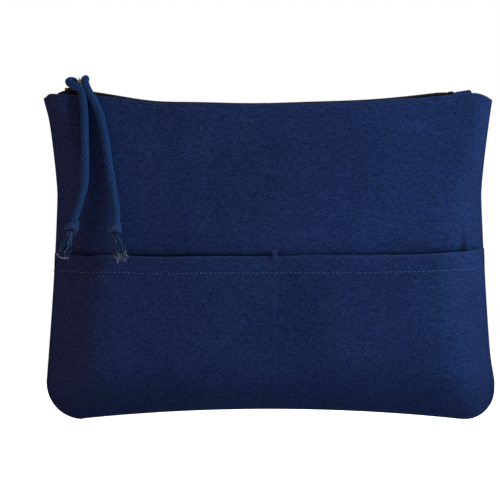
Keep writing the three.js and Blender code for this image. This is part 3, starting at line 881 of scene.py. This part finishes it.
def stitch_line(face, us, vs, name, seed, lift=0.1, material=THREAD, outward=1):
    strands = Strands()
    points, normals = face_normal(face, us, vs)
    stitches(strands, points, outward * normals, lift, seed)
    return strands.make(name, material)


def hem_stitching():
    for number, (side, half, start, end, _, sewn, middle) in enumerate(POCKET_HALVES):
        us = np.linspace(max(start, -0.985), min(end, 0.985), 400)
        vs = LIP - HEM / (zip_z(us * HALF_WIDTH) - bottom_edge(us * HALF_WIDTH))
        line = stitch_line(pocket_face, us, vs, f"{side}_pocket_hem_{half}_stitches", 40 + number)
        attach_bending(line, f"{side}_pocket_hem_stitching")


BAR_STITCHES = 9
BAR_START = LIP - 0.006
BAR_PITCH = 0.0038
BAR_HALF_WIDTH = 1.25
BAR_THREAD_RADIUS = 0.24
BAR_FRONT = -FRONT_DEPTH - 1.3


def divider_stitching():
    vs = np.linspace(0.012, LIP - 0.004, 400)
    us = 0 * vs + DIVIDER_U
    line = stitch_line(pocket_face, us, vs, "pocket_divider_stitches", 50, 0.16, TONAL_THREAD)
    attach(line, "pouch", "pocket_divider_stitching")


def bartack():
    """Short stitches across the top of the divider, close together, from the pockets on to the panel."""
    strands = Strands()
    random = np.random.RandomState(51)
    across = np.linspace(-1, 1, 7)
    for k in range(BAR_STITCHES):
        v = BAR_START + k * BAR_PITCH
        face = pocket_face if v < LIP else upper_front_face
        x, y, z = face(np.array(DIVIDER_U), np.array(v))
        reach = BAR_HALF_WIDTH + random.uniform(-0.12, 0.12)
        slant = random.uniform(-0.12, 0.12)
        front = min(y, BAR_FRONT) - 0.45
        line = [(x + s * reach, front + 0.5 * abs(s) ** 3, z + s * (slant + 0.18)) for s in across]
        strands.tube(line, BAR_THREAD_RADIUS, 7)
    bar = strands.make("pocket_divider_bar_stitches", TONAL_THREAD)
    attach(bar, "pouch", "pocket_divider_bartack")


def zip_stitching():
    """The lines that sew the panels to the zip's tapes."""

    def line(face, start, end, count, name, seed, material, outward=1):
        us = np.linspace(start, end, count)
        vs = 1 - TOP_STITCHING / (edge_z(us * HALF_WIDTH) - bottom_edge(us * HALF_WIDTH))
        return stitch_line(face, us, vs, name, seed, material=material, outward=outward)

    for side, start, end, seam, seed in (
        ("left", -STITCHED_TO, 0, LEFT_SEAM, 60),
        ("right", 0, STITCHED_TO, ZIP_STILL_CLOSED, 61),
    ):
        piece = line(upper_front_face, start, end, 900, f"front_zip_{side}_stitches", seed, TONAL_THREAD)
        attach_bending(piece, "front_zip_stitching")
    back = line(back_face, -STITCHED_TO, STITCHED_TO, 1800, "back_zip_stitches", 62, THREAD, outward=-1)
    attach(back, "pouch", "back_zip_stitching")


# ---- zip

COIL_PITCH = 1.7
COIL_STEPS = 14  # points in each turn of the spiral
COIL_HEAD = 0.42  # how far a turn reaches past the zip's middle, and how far it reaches back over its tape
COIL_TAIL = 2.35
COIL_THREAD_RADIUS = 0.34
WEDGE_PARTING = 1.6

# The tape's cross-section, as (distance from the zip's middle, height above the tape's mid plane).
TAPE_PROFILE = (
    (1.2, -0.3), (3.0, -0.3), (5.6, -0.3), (6.0, -0.42), (6.15, -0.8), (6.15, -4.5), (6.15, -9.0),
    (6.7, -9.0), (6.7, -4.5), (6.7, -0.5), (6.55, 0.05), (6.0, 0.28), (3.0, 0.3), (1.2, 0.3),
)


def parting(x):
    """How far the slider's wedge holds each row off the zip's middle, left of the slider."""
    return WEDGE_PARTING * smooth((SLIDER_X + 1 - x) / 3)


def tape_piece(name, side, start, end):
    """A strip that lies flat beside the coil, then turns down behind the panel."""
    xs = np.linspace(start, end, int(abs(end - start) / 2.5) + 2)
    across, up = np.array(TAPE_PROFILE).T * ((side,), (1,))
    points = on_zip(xs[:, None], across[None, :], up[None, :])
    uvs = pairs(xs, run_along(np.stack([across, up], -1))) * 0.001
    faces = tube_faces(len(xs), len(TAPE_PROFILE))
    if side > 0:
        faces = [face[::-1] for face in faces]
    return make_object(name, points.reshape(-1, 3), faces, TAPE, uvs.reshape(-1, 2))


def coil_piece(name, side, start, end):
    """One row of the zip: a nylon spiral whose loops reach between those of the other row."""
    loops = int(round((end - start) / COIL_PITCH))
    turn = np.arange(loops * COIL_STEPS + 1) / COIL_STEPS
    angle = 2 * math.pi * turn
    x = start + COIL_PITCH * (turn + (0.5 if side > 0 else 0.0))
    keep = x <= end + 0.1
    x, angle = x[keep], angle[keep]
    y = side * (lerp(-COIL_HEAD, COIL_TAIL, (1 + np.cos(angle)) / 2) + parting(x))
    n = 1.18 + 0.72 * np.sin(angle)
    strands = Strands()
    strands.tube(on_zip(x, y, n), COIL_THREAD_RADIUS, 6)
    core = np.linspace(start, end, int((end - start) / 2) + 2)
    strands.tube(on_zip(core, side * (1.35 + parting(core)), 0.85), 0.55, 8)
    return strands.make(name, COIL)


def coil_stitching(name, side, start, end):
    """The black sewing that holds a row to its tape."""
    strands = Strands()
    for offset in (1.0, 1.9):
        x = np.arange(start + 0.6, end - 0.6, COIL_PITCH / 4)
        wave = 0.10 * np.sin(2 * math.pi * x / COIL_PITCH)
        strands.tube(on_zip(x, side * (offset + parting(x)), 2.02 + wave), 0.16, 5)
    return strands.make(name, TAPE)


def zip_rows():
    for side, seam, tape, coil in (
        ("left", LEFT_SEAM, (TAPE_LEFT, 0), (COIL_LEFT, 0)),
        ("right", ZIP_STILL_CLOSED, (0, TAPE_RIGHT), (0, COIL_RIGHT)),
    ):
        pieces = (
            (tape_piece(f"front_zip_tape_{side}", -1, *tape), "zip_tape", "front_zip_tape"),
            (coil_piece(f"front_zip_coil_{side}", -1, *coil), "zip_coil", "front_zip_coil"),
            (coil_stitching(f"front_zip_coil_stitches_{side}", -1, *coil), "zip_tape", "front_zip_coil"),
        )
        for piece, slot, node in pieces:
            attach_bending(piece, node)
    pieces = (
        (tape_piece("back_zip_tape_strip", 1, TAPE_LEFT, TAPE_RIGHT), "zip_tape", "back_zip_tape"),
        (coil_piece("back_zip_coil_row", 1, COIL_LEFT, COIL_RIGHT), "zip_coil", "back_zip_coil"),
        (coil_stitching("back_zip_coil_stitches", 1, COIL_LEFT, COIL_RIGHT), "zip_tape", "back_zip_coil"),
    )
    for piece, slot, node in pieces:
        attach(piece, "pouch", node)


BLOCK_SQUARENESS = 0.45


def rounded_block(name, start, end, middle, half, material, ends=0.25, dent=None):
    """A block along the zip with soft edges. middle and half are (across, up) in millimetres, ends is the
    height left at the two ends, as a share, and dent is where a line of stitches pulls it in."""
    xs = np.linspace(start, end, 22)
    turn = np.linspace(0, 2 * math.pi, 40, endpoint=False)
    from_middle = (xs - start) / (end - start) * 2 - 1
    taper = (1 - np.abs(from_middle) ** 7) ** (1 / 4)
    across = np.sign(np.cos(turn)) * np.abs(np.cos(turn)) ** BLOCK_SQUARENESS * half[0]
    up = np.sign(np.sin(turn)) * np.abs(np.sin(turn)) ** BLOCK_SQUARENESS * half[1]
    y = middle[0] + across[None, :] * (0.9 + 0.1 * taper)[:, None]
    n = middle[1] + up[None, :] * (ends + (1 - ends) * taper)[:, None]
    if dent is not None:
        n = n - 0.25 * np.sign(up)[None, :] * bump(xs - dent, 0.7)[:, None]
    points = on_zip(xs[:, None] + 0 * y, y, n)
    uvs = pairs(xs, across + up) * 0.001
    faces = tube_faces(len(xs), len(turn))
    shade = np.outer(1 - taper, np.ones(len(turn))).ravel() * 0.6
    return make_object(name, points.reshape(-1, 3), faces, material, uvs.reshape(-1, 2), shade)


def end_tab(node, start, end, half_width, rise, half_height):
    """A folded strip of canvas over the ends of the tapes, with a line of stitches across it."""
    stitch_x = start + 1.6 if end > 0 else end - 1.2
    half = (half_width, half_height)
    tab = rounded_block(node + "_cloth", start, end, (0, rise), half, CANVAS_CLOTH, dent=stitch_x)
    attach(tab, "pouch", node)
    strands = Strands()
    reach = half_width - 1.0
    line = on_zip(np.full(60, stitch_x), np.linspace(-reach, reach, 60), rise + half_height - 0.25)
    stitches(strands, line, np.tile((0.0, 0.0, 1.0), (60, 1)), 0.12, 70)
    seam = strands.make(node + "_stitches", THREAD)
    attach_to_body(seam, "pouch")


def zip_stops():
    """The clamps at the ends of the coil rows, pressed round the coil."""
    for node, start, end, middle, half, material in (
        ("front_zip_top_stop", COIL_LEFT - 2.1, COIL_LEFT - 0.1, (-2.7, 1.05), (1.7, 1.1), BRONZE),
        ("back_zip_top_stop", COIL_LEFT - 2.1, COIL_LEFT - 0.1, (2.7, 1.05), (1.7, 1.1), BRONZE),
        ("zip_bottom_stop", COIL_RIGHT + 0.2, COIL_RIGHT + 3.6, (0, 1.15), (3.2, 1.3), BLACK_METAL),
    ):
        clamp = rounded_block(node + "_clamp", start, end, middle, half, material, ends=0.5)
        attach(clamp, "pouch", node)


# ---- metal fittings


def fittings():
    """The metal fittings keep their CAD shapes, with their edges rounded over."""
    finish = {
        "zip_slider_body": (BRONZE, 0.00028),
        "zip_slider_bail": (BRONZE, 0.00022),
        "pull_link": (NICKEL, 0.00045),
    }
    for node, (material, width) in finish.items():
        obj = frame["nodes"][node]
        obj.data.materials.clear()
        obj.data.materials.append(material)
        bevel = obj.modifiers.new("round_edges", "BEVEL")
        bevel.width = width
        bevel.segments = 4
        bevel.limit_method = "ANGLE"
        bevel.angle_limit = math.radians(35)
        obj.data.polygons.foreach_set("use_smooth", [True] * len(obj.data.polygons))
        obj.data.set_sharp_from_angle(angle=math.radians(35))


# ---- cord

# The middle of the cord inside the pull link. The cord's points are offsets from it.
CORD_START = np.array([-113.58, -3.644, 201.057])
CORD_IN_LINK = 1.5
LINK_WIDTH = 2.4
KNOT_TURNS = 1.6
KNOT_RADIUS = 2.5
KNOT_CORD_RADIUS = 2.05
LOOP = [
    (2, -8.4, -9.4), (2, -8.4, -7.8), (1.8, -8.3, -6.9), (1.3, -7.8, -5.4), (-0.1, -7.1, -3.7),
    (-2.6, -6.3, -2.3), (-5.2, -4.8, -0.9), (-6.2, -2.4, 0.6), (-4.4, -0.5, 0.9), (-2.1, 0, 0.1), (0, 0, 0),
    (2.1, 0, 0.1), (3.4, -0.7, 1.5), (3.6, -2.6, 2), (3.3, -4.8, 0.9), (3.9, -6.3, -1.8), (5.3, -7.7, -4.8),
    (6.3, -8.2, -6.9), (6.9, -8.3, -7.8), (7.7, -8.4, -9.4),
]
TAILS = {
    "left": {
        "strand": [(2, -8.4, -7.9), (2.9, -9.2, -16.8), (3.3, -10.2, -30.8), (3.6, -11.9, -46.8),
                   (3.1, -13.7, -60.8), (0.6, -15.7, -70.8), (-2.2, -17.6, -80)],
        "knot": (-4.2, -20, -86.9),
        "end": (-9.8, -26.6, -104.2),
        "pale": 0.15,
    },
    "right": {
        "strand": [(7.1, -8.3, -7.9), (12.2, -9.4, -18.8), (15.2, -10.5, -31.8), (17.8, -12.1, -49.8),
                   (20.8, -15.3, -67.8), (22.2, -17.6, -80)],
        "knot": (21.4, -20, -88.2),
        "end": (25.4, -28.6, -105.2),
        "pale": 1.0,
    },
}


def braid(run, angle):
    """Relief of an eight-strand braid: two families of ribs that cross."""
    lay = 2 * math.pi * run / 9.0
    ribs = np.abs(np.cos(2 * angle + lay)) * np.abs(np.cos(2 * angle - lay))
    return 0.94 + 0.085 * np.sqrt(ribs)


def cord_piece(name, path, radius, sides, body, node, shade=0.0):
    strands = Strands()
    strands.tube(path, radius, sides, braid, shade)
    attach(strands.make(name, CORD), body, node)


def cord_loop():
    path = smooth_path(np.array(LOOP) + CORD_START, 260)
    from_middle = np.abs(path[:, 0] - CORD_START[0])
    inside = np.linalg.norm(path[:, 1:] - CORD_START[1:], axis=1) < 1.2
    free = np.where(inside, smooth((from_middle - LINK_WIDTH / 2 - 0.2) / 1.4), 1)
    radius = lerp(CORD_IN_LINK, CORD_RADIUS, free)
    cord_piece("pull_cord_loop_braid", path, radius, 28, "cord_loop", "pull_cord_loop")


def knot_path(centre, down):
    """A little over one and a half turns of cord round itself, tucked in at both ends."""
    t = np.linspace(0, 1, 70)
    angle = 2 * math.pi * KNOT_TURNS * t - 1.2
    radius = KNOT_RADIUS * np.sin(math.pi * np.clip(t * 1.08 - 0.04, 0.02, 0.98)) ** 0.35
    height = lerp(3.0, -2.6, t) + 0.9 * np.cos(angle + 0.5)
    down = unit(np.array(down, float))
    side = unit(np.cross(down, (0.0, 1.0, 0.0)))
    front = np.cross(side, down)
    return (
        centre
        + side * (radius * np.cos(angle))[:, None]
        + front * (radius * np.sin(angle))[:, None]
        - down * height[:, None]
    )


YARNS = 14
YARN_RADIUS = 0.55
YARN_TIP_RADIUS = 0.28
YARN_START = 2.4
FRAY_FLATNESS = 0.34


def frayed_end(side, centre, end, pale, seed):
    """The yarns below the knot: they spread, wave and end in loose fibres, paler towards their tips."""
    random = np.random.RandomState(seed)
    strands = Strands()
    down = end - centre
    length = np.linalg.norm(down)
    down = down / length
    across = unit(np.cross(down, (0.0, 1.0, 0.0)))
    front = np.cross(across, down)
    for k in range(YARNS):
        angle = 2 * math.pi * (k / YARNS) + random.uniform(-0.2, 0.2)
        spread_out = random.uniform(0.45, 1.15)
        reach = length * random.uniform(0.84, 1.08)
        t = np.linspace(0, 1, 18)
        fan = 1.2 + (4.3 * spread_out - 1.2) * t**1.3
        wave = 0.75 * t * np.sin(2 * math.pi * (t * random.uniform(1.0, 2.2) + random.uniform(0, 1)))
        path = (
            centre
            + down * (YARN_START + (reach - YARN_START) * t)[:, None]
            + across * (math.cos(angle) * fan + wave)[:, None]
            + front * (math.sin(angle) * fan * FRAY_FLATNESS + 0.4 * wave[::-1])[:, None]
        )
        tip_shade = np.clip((t - 0.78) / 0.22, 0, 1) ** 1.5 * random.uniform(0.3, 1.0) * pale
        radius = YARN_RADIUS - (YARN_RADIUS - YARN_TIP_RADIUS) * t
        # Each yarn's random paleness is partly tone that varies from yarn to yarn and partly painted
        # highlight, lifting yarns that hang in shade below the knot.
        strands.tube(path, radius, 6, shade=tip_shade + 0.22 * random.uniform(0, 1) ** 2)
        tip = path[-1]
        heading = unit(path[-1] - path[-3])
        for _ in range(4 + int(4 * pale)):
            stray = unit(heading + random.uniform(-0.8, 0.8, 3) * (1, 0.5, 1))
            curl = random.uniform(-0.6, 0.6, 3)
            reach_out = random.uniform(0.7, 2.0)
            s = np.linspace(0, 1, 7)[:, None]
            fibre = tip + stray * s * reach_out + curl * s**2
            fibre_shade = random.uniform(0.15, 0.8) * (0.25 + 0.75 * pale)
            strands.tube(fibre, 0.11 - 0.04 * s[:, 0], 4, shade=fibre_shade)
    if side == "left":
        t = np.linspace(0, 1, 24)
        curl = across * (-3.6 + 7.4 * t)[:, None] + down * (length + 0.9 - 1.8 * (2 * t - 1) ** 2)[:, None]
        strands.tube(centre + curl + (0, -1.2, 0), 0.34, 6, shade=0.5)
    yarns = strands.make(f"{side}_cord_frayed_yarns", CORD)
    attach(yarns, f"{side}_tail", f"{side}_cord_frayed_end")


def cord_tails():
    for number, (side, shape) in enumerate(TAILS.items()):
        strand = np.array(shape["strand"]) + CORD_START
        knot = np.array(shape["knot"]) + CORD_START
        end = np.array(shape["end"]) + CORD_START
        path = smooth_path(np.vstack([strand, knot]), 300)
        body = f"{side}_tail"
        cord_piece(f"{side}_cord_tail_braid", path, CORD_RADIUS, 28, body, f"{side}_cord_tail")
        wrap = knot_path(knot, knot - strand[-1])
        cord_piece(f"{side}_cord_knot_wrap", wrap, KNOT_CORD_RADIUS, 24, body, f"{side}_cord_knot", 0.05)
        frayed_end(side, knot, end, shape["pale"], 80 + number)


# ---- stage

FRAME_SIDE = 0.300  # how much of the object's plane the picture shows
CAMERA_DISTANCE = 5.0
CAMERA_AIM = Vector((-0.0116, 0, 0.0028))
FLOOR_RADIUS = 3.0
FLOOR_SIDES = 64
FLOOR_GAP = 0.0006
PAPER_GLOW = 0.93
WORLD_LIGHT = 0.13


def area_light(name, position, size, power, colour=(1, 1, 1)):
    """A square or oblong light that faces the object."""
    data = bpy.data.lights.new(name, "AREA")
    data.shape = "RECTANGLE"
    data.size, data.size_y = size
    data.energy = power
    data.color = colour
    light = add_object(name, data)
    light.location = position
    light.rotation_euler = (-Vector(position)).to_track_quat("-Z", "Y").to_euler()


def lit_paper():
    """Matt white paper, seen as bright as an evenly lit studio sweep."""
    s = Shader("floor_paper")
    grain = s.stretch(0.0, 1.0, s.noise(s.object_place(), 60, 3), 0.985, 1.0)
    s.set(Base_Color=s.multiply((0.85, 0.85, 0.85), grain), Roughness=0.9, Specular_IOR_Level=0.0)
    seen = s.tree.nodes.new("ShaderNodeLightPath").outputs["Is Camera Ray"]
    s.set(Emission_Color=(1, 1, 1), Emission_Strength=s.times(seen, PAPER_GLOW))
    return s.material


def floor():
    height = float(to_frame((0, 0, 0))[2]) - FLOOR_GAP
    turn = np.linspace(0, 2 * math.pi, FLOOR_SIDES, endpoint=False)
    rim = [(FLOOR_RADIUS * math.cos(a), FLOOR_RADIUS * math.sin(a), height) for a in turn]
    mesh = bpy.data.meshes.new("floor")
    mesh.from_pydata(rim, [], [list(range(FLOOR_SIDES))])
    mesh.materials.append(lit_paper())
    add_object("floor", mesh)


def world():
    """A white world that lights the object less than it shows behind it."""
    studio = bpy.data.worlds.new("studio")
    bpy.context.scene.world = studio
    studio.use_nodes = True
    tree = studio.node_tree
    background = tree.nodes["Background"]
    seen = tree.nodes.new("ShaderNodeLightPath").outputs["Is Camera Ray"]
    strength = tree.nodes.new("ShaderNodeMapRange")
    strength.inputs["To Min"].default_value = WORLD_LIGHT
    strength.inputs["To Max"].default_value = 1.0
    tree.links.new(seen, strength.inputs["Value"])
    tree.links.new(strength.outputs[0], background.inputs["Strength"])
    background.inputs["Color"].default_value = (1, 1, 1, 1)


def lights():
    area_light("key", (0.46, -0.31, 0.24), (0.22, 0.22), 3.2, (0.78, 0.98, 1.0))
    area_light("fill", (-0.8, -1.4, 0.5), (1.0, 1.0), 2.0, (1.0, 0.76, 0.66))
    area_light("warm", (-0.42, -0.28, 0.05), (0.25, 0.25), 0.7, (1.0, 0.28, 0.14))
    area_light("top", (0.2, 0.3, 1.3), (1.2, 1.0), 4)
    area_light("back", (0.7, 1.2, 0.5), (0.8, 0.8), 10)


def camera():
    """Straight in front of the pouch and far off, as in a product picture."""
    data = bpy.data.cameras.new("camera")
    data.sensor_width = 36
    data.lens = data.sensor_width * CAMERA_DISTANCE / FRAME_SIDE
    made = add_object("camera", data)
    made.location = CAMERA_AIM + Vector((0, -CAMERA_DISTANCE, 0))
    made.rotation_euler = (math.radians(90), 0, 0)
    bpy.context.scene.camera = made
    bpy.context.scene.view_settings.view_transform = "Standard"


panels()
pockets()
hem_stitching()
divider_stitching()
bartack()
zip_stitching()
zip_rows()
end_tab("left_zip_end_tab", -127.0, -123.0, 3.4, -0.4, 1.2)
end_tab("right_zip_end_tab", 110.4, 121.0, 5.6, 0.0, 1.9)
zip_stops()
fittings()
cord_loop()
cord_tails()
floor()
world()
lights()
camera()
